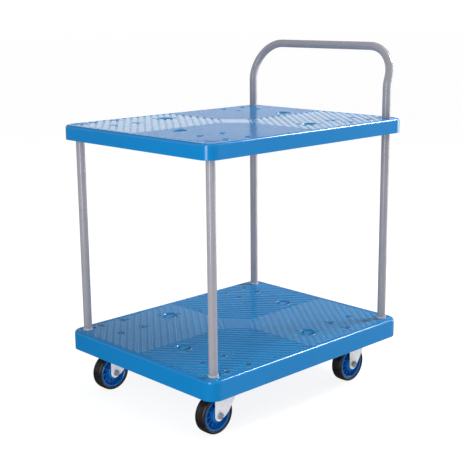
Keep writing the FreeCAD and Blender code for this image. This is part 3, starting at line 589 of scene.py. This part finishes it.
# ------------------------------------------------------------------ forks and brackets
# Each caster's wheel stands between two legs of 2.5 mm sheet steel, pressed in one piece with
# a roof and bright zinc plated. The front pair's roof is a bowl that turns under the top
# plate; the rear pair's roof is the bolted plate itself.
def zinc_plate(name, colour, shade, metal, smooth, rough):
    """Bright zinc plate: a pale, slightly blue sheen with cloudy, faintly yellow patches, which
    are a painted golden reflection.
    """
    material, tree, shader = new_material(name)
    place = add(tree, "TexCoord").outputs["Object"]
    clouds = add(tree, "TexNoise", Vector=place, Scale=1 / (34 * MM), Detail=2.0)
    painted_light_patches = add(tree, "MapRange", Value=clouds.outputs["Fac"], From_Min=0.50, From_Max=0.72)
    tint = add(tree, "MixRGB", {"blend_type": "MIX"}, Fac=painted_light_patches.outputs[0],
               Color1=linear(colour), Color2=linear(shade))
    tree.links.new(tint.outputs[0], shader.inputs["Base Color"])
    gloss = add(tree, "MapRange", Value=clouds.outputs["Fac"], From_Min=0.3, From_Max=0.7,
                To_Min=smooth, To_Max=rough)
    tree.links.new(gloss.outputs[0], shader.inputs["Roughness"])
    relief = add(tree, "Bump", Strength=0.15, Distance=0.1 * MM, Height=clouds.outputs["Fac"])
    tree.links.new(relief.outputs[0], shader.inputs["Normal"])
    shader.inputs["Metallic"].default_value = metal
    return material


# The pale gold second colour paints a golden reflection in cloudy patches on the zinc.
zinc = zinc_plate("bright_zinc_plate", "#ECEFF4", "#CCB88F", 0.2, 0.26, 0.42)
LEG_IN, SHEET, BOSS, KINK = 19.5 * MM, 2.5 * MM, 14 * MM, 14 * MM
TAPER, NOSE, NOSE_CURL = 2.2 * MM, 9 * MM, 1.6
PANEL_EDGE, PANEL_SLOPE = 3.2 * MM, 1.2 * MM


def pressed_legs(shape, centre, corners, reach, panel):
    """Both legs: corners are (x, z, rounding) in mm from the wheel's centre, reach is how far
    the nose stands in front of it, and panel is how far the middle of a leg is pressed out."""
    leg = bmesh.new()
    verts = [leg.verts.new((x * MM, 0, z * MM)) for x, z, rounding in corners]
    leg.faces.new(verts)
    for vert, (x, z, rounding) in zip(verts, corners):
        if rounding:
            bmesh.ops.bevel(leg, geom=[vert], offset=rounding * MM, segments=8, profile=0.5,
                            affect="VERTICES", material=-1)
    for across in (KINK, KINK + 3 * MM, 0.7 * reach, reach - NOSE, reach - 0.6 * NOSE):
        bmesh.ops.bisect_plane(leg, geom=leg.verts[:] + leg.edges[:] + leg.faces[:],
                               plane_co=(across, 0, 0), plane_no=(1, 0, 0))
    fields = [f for f in leg.faces if f.calc_center_median().x < KINK]
    bmesh.ops.inset_region(leg, faces=fields, thickness=PANEL_EDGE, depth=0)
    bmesh.ops.inset_region(leg, faces=fields, thickness=PANEL_SLOPE, depth=0)
    for vert in {v for f in fields for v in f.verts}:
        if vert.co.z > 0.2 * BOSS:
            vert.co.y += panel
    flank = reach - NOSE - KINK
    for vert in leg.verts:
        past = vert.co.x - KINK
        if past > 0:
            vert.co.y -= min(past, flank) / flank * TAPER
        past = vert.co.x - (reach - NOSE)
        if past > 0:
            vert.co.y -= (LEG_IN - TAPER - NOSE) * (past / NOSE) ** NOSE_CURL
    bmesh.ops.recalc_face_normals(leg, faces=leg.faces[:])
    if leg.faces[0].normal.y < 0:
        bmesh.ops.reverse_faces(leg, faces=leg.faces[:])
    bmesh.ops.solidify(leg, geom=leg.faces[:], thickness=-SHEET)
    bmesh.ops.recalc_face_normals(leg, faces=leg.faces[:])
    low = min(v.co.y for v in leg.verts if v.co.x < KINK and v.co.z < 0)
    bmesh.ops.translate(leg, verts=leg.verts[:], vec=(0, LEG_IN - low, 0))
    rims = [e for e in leg.edges if e.is_manifold and e.calc_face_angle(0) > math.radians(60)]
    bmesh.ops.bevel(leg, geom=rims, offset=0.5 * MM, segments=2, profile=0.5, affect="EDGES",
                    material=-1)
    part = bpy.data.meshes.new("leg")
    leg.to_mesh(part)
    for side in (-1, 1):
        first = len(shape.verts)
        shape.from_mesh(part)
        shape.verts.ensure_lookup_table()
        fresh = shape.verts[first:]
        bmesh.ops.transform(shape, matrix=Matrix.Translation(centre)
                            @ Matrix.Diagonal((1, side, 1, 1)), verts=fresh)
    leg.free()
    bpy.data.meshes.remove(part)


def rounded_block(shape, low, high, corner):
    """Closed plate with its upright corners rounded."""
    verts = box_in(shape, low, high)
    edges = list({e for v in verts for e in v.link_edges})
    upright = [e for e in edges if abs((e.verts[0].co - e.verts[1].co).z) > 0.1 * MM]
    bmesh.ops.bevel(shape, geom=upright, offset=corner, segments=6, profile=0.5,
                    affect="EDGES", material=-1)


def ring_profile(shape, centre, profile, steps=64):
    """Spins a closed profile of (radius, height) points round an upright axis."""
    verts = [shape.verts.new(centre + Vector((radius, 0, height))) for radius, height in profile]
    edges = [shape.edges.new(pair) for pair in zip(verts, verts[1:] + verts[:1])]
    bmesh.ops.spin(shape, geom=verts + edges, cent=centre, axis=(0, 0, 1), dvec=(0, 0, 0),
                   angle=2 * math.pi, steps=steps, use_merge=True, use_duplicate=False)


FORK_CORNERS = [(-14, -14, 14), (3.57, -14, 3.57), (28, -1, 10), (71, 56.6, 3), (71, 64.6, 0),
                (-14, 64.6, 3)]
BRACKET_CORNERS = [(-14, -14, 14), (7.1, -14, 7.1), (41, 32, 12), (51, 75, 4), (53, 84, 0),
                   (-33.6, 84, 0), (-14, 57, 8)]
FORK_REACH, FORK_PANEL, TRAIL = 71 * MM, 0.9 * MM, 43 * MM
ROOF_LOW, ROOF_HIGH, ROOF_CORNER = (-14, -21.9, 61.6), (66, 21.9, 64.5), 4 * MM
RACE_PROFILE = [(6.1, 62), (26, 62), (27, 64), (27, 68.8), (26.2, 69.6), (14, 69.6),
                (6.1, 66)]  # radius and height, in mm, round the king pin
BRACKET_REACH, BRACKET_PANEL, PLATE_THICK, PLATE_CORNER = 53 * MM, -1.0 * MM, 4 * MM, 10 * MM
for end, side in CORNERS:
    caster, centre = caster_place(end, side)
    shape = bmesh.new()
    if end < 0:
        pressed_legs(shape, centre, FORK_CORNERS, FORK_REACH, FORK_PANEL)
        rounded_block(shape, centre + Vector(ROOF_LOW) * MM, centre + Vector(ROOF_HIGH) * MM,
                      ROOF_CORNER)
        ring_profile(shape, centre + Vector((TRAIL, 0, 0)),
                     [(radius * MM, height * MM) for radius, height in RACE_PROFILE])
        body, name, node = caster + "swivel", caster + "fork_pressing", caster + "fork"
    else:
        pressed_legs(shape, centre, BRACKET_CORNERS, BRACKET_REACH, BRACKET_PANEL)
        plate_low, plate_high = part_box(caster + "bracket")
        rounded_block(shape, Vector((plate_low.x, plate_low.y, plate_high.z - PLATE_THICK)),
                      plate_high, PLATE_CORNER)
        body, name, node = "chassis", caster + "bracket_pressing", caster + "bracket"
    bmesh.ops.recalc_face_normals(shape, faces=shape.faces[:])
    pressing = make_piece(name, shape, body, zinc, 35)
    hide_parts(node)


# ------------------------------------------------------------------ bolts, nuts and small steel
# Standard zinc-plated fasteners: the axle bolts and nuts are a more metallic zinc in a darker
# grey, and that darkness is painted shade. The caster bolts' round heads carry a dark blue coat
# whose darkness is painted shade of their recesses; it is as even and glossy as the mouldings
# round it, so it takes their finish in its own colour.
def nodes_named(*words):
    """Names of the carried-over CAD pieces that hold one of these words."""
    return [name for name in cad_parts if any(word in name for word in words)]


axle_steel_painted_shade = zinc_plate("zinc_plated_axle_steel_painted_shade", "#9BA0A9", "#7F8288", 0.55, 0.2, 0.34)
finish_nodes(nodes_named("bolt", "washer", "nut", "plug", "pin", "plate", "sleeve", "ball"), zinc)
finish_nodes(nodes_named("axle_bolt", "axle_nut"), axle_steel_painted_shade)
# The heads' dark blue is painted shade of the recesses they sit in.
bolt_blue_painted_shade = moulded_polypropylene("dark_blue_bolt_head_painted_shade", "#00406F", "#004578", 0.3, 0.4)
finish_nodes(["caster_bolts"], bolt_blue_painted_shade)


# ------------------------------------------------------------------ studio
# A white paper floor, a surround that is bright behind and dimmer in front, and four soft
# lamps: a tall strip on the left, a box high on the right, a panel low on the right and a
# wide box overhead.
world = bpy.data.worlds.new("studio_surround")
bpy.context.scene.world = world
world.use_nodes = True
tree = world.node_tree
tree.nodes.clear()
look = add(tree, "TexCoord").outputs["Generated"]
height = add(tree, "SeparateXYZ", Vector=look).outputs["Z"]
SMOOTH = {"interpolation_type": "SMOOTHSTEP"}
# Behind the object a low white band lights the deck tops; the rest of the room is grey.
behind = add(tree, "VectorMath", {"operation": "DOT_PRODUCT"}, i0=look, i1=(0.7, 0.7, 0))
rear = add(tree, "MapRange", SMOOTH, Value=behind.outputs["Value"],
           From_Min=-0.1, From_Max=0.8, To_Min=0.0, To_Max=1.0)
band = add(tree, "MapRange", SMOOTH, Value=height,
           From_Min=0.08, From_Max=0.40, To_Min=1.05, To_Max=0.0)
room = add(tree, "MapRange", Value=rear.outputs[0], From_Min=0.0, From_Max=1.0,
           To_Min=0.60, To_Max=0.18)
glow = add(tree, "Math", {"operation": "MULTIPLY_ADD"}, i0=rear.outputs[0], i1=band.outputs[0],
           i2=room.outputs[0])
# Below the horizon it is dark, but for a pale patch on the right.
beside = add(tree, "VectorMath", {"operation": "DOT_PRODUCT"}, i0=look, i1=(0.7, -0.7, 0))
pale = add(tree, "MapRange", SMOOTH, Value=beside.outputs["Value"],
           From_Min=0.6, From_Max=1.0, To_Min=0.10, To_Max=0.8)
ground = add(tree, "MapRange", SMOOTH, Value=height,
             From_Min=-0.15, From_Max=0.02, To_Min=pale.outputs[0], To_Max=1.0)
shaded = add(tree, "Math", {"operation": "MULTIPLY"}, i0=glow.outputs[0], i1=ground.outputs[0])
# The camera itself sees plain white.
seen = add(tree, "LightPath").outputs["Is Camera Ray"]
level = add(tree, "Math", {"operation": "MAXIMUM"}, i0=shaded.outputs[0], i1=seen)
paint = add(tree, "Background", Color=(1, 1, 1, 1), Strength=level.outputs[0])
add(tree, "OutputWorld", Surface=paint.outputs[0])

shape = bmesh.new()
bmesh.ops.create_grid(shape, x_segments=1, y_segments=1, size=30)
mesh = bpy.data.meshes.new("floor")
shape.to_mesh(mesh)
shape.free()
floor = bpy.data.objects.new("floor", mesh)
bpy.context.scene.collection.objects.link(floor)
paper, tree, shader = new_material("white_paper")
shader.inputs["Base Color"].default_value = linear("#828282")
shader.inputs["Roughness"].default_value = 0.9
shader.inputs["Specular IOR Level"].default_value = 0.1
shader.inputs["Emission Color"].default_value = (1, 1, 1, 1)
shader.inputs["Emission Strength"].default_value = 0.86
mesh.materials.append(paper)
floor.visible_glossy = False


def soft_lamp(name, place, aim, wide, tall, power):
    """Rectangular lamp, sizes in metres and power in watts, that the camera doesn't see."""
    lamp = bpy.data.lights.new(name, "AREA")
    lamp.shape = "RECTANGLE"
    lamp.size = wide
    lamp.size_y = tall
    lamp.energy = power
    made = bpy.data.objects.new(name, lamp)
    bpy.context.scene.collection.objects.link(made)
    made.location = place
    made.rotation_euler = (Vector(aim) - Vector(place)).to_track_quat("-Z", "Y").to_euler()
    made.visible_camera = False


soft_lamp("left_strip", (-1.75, -0.80, 0.8), (-0.3, -0.2, 0.5), 0.5, 1.6, 18)
soft_lamp("right_box", (2.0, -0.9, 2.2), (0, 0, 0.5), 0.7, 0.9, 80)
soft_lamp("right_panel", (2.4, -0.7, 0.6), (0.0, -0.1, 0.5), 0.8, 1.6, 20)
soft_lamp("overhead_box", (0, 0.4, 3.2), (0, 0, 0.3), 3.0, 3.0, 14)

camera_data = bpy.data.cameras.new("camera")
camera = bpy.data.objects.new("camera", camera_data)
bpy.context.scene.collection.objects.link(camera)
bpy.context.scene.camera = camera
camera_data.sensor_width = 36
camera_data.lens = 77.7
camera.location = (-1.8236, -1.8904, 1.0238)
heading, dip, roll = (math.radians(angle) for angle in (46.29, 12.80, -0.53))
forward = Vector((math.cos(heading) * math.cos(dip), math.sin(heading) * math.cos(dip),
                  -math.sin(dip)))
aimed = forward.to_track_quat("-Z", "Y")
camera.rotation_euler = (aimed @ Quaternion((0, 0, 1), roll)).to_euler()
bpy.context.scene.view_settings.view_transform = "Standard"
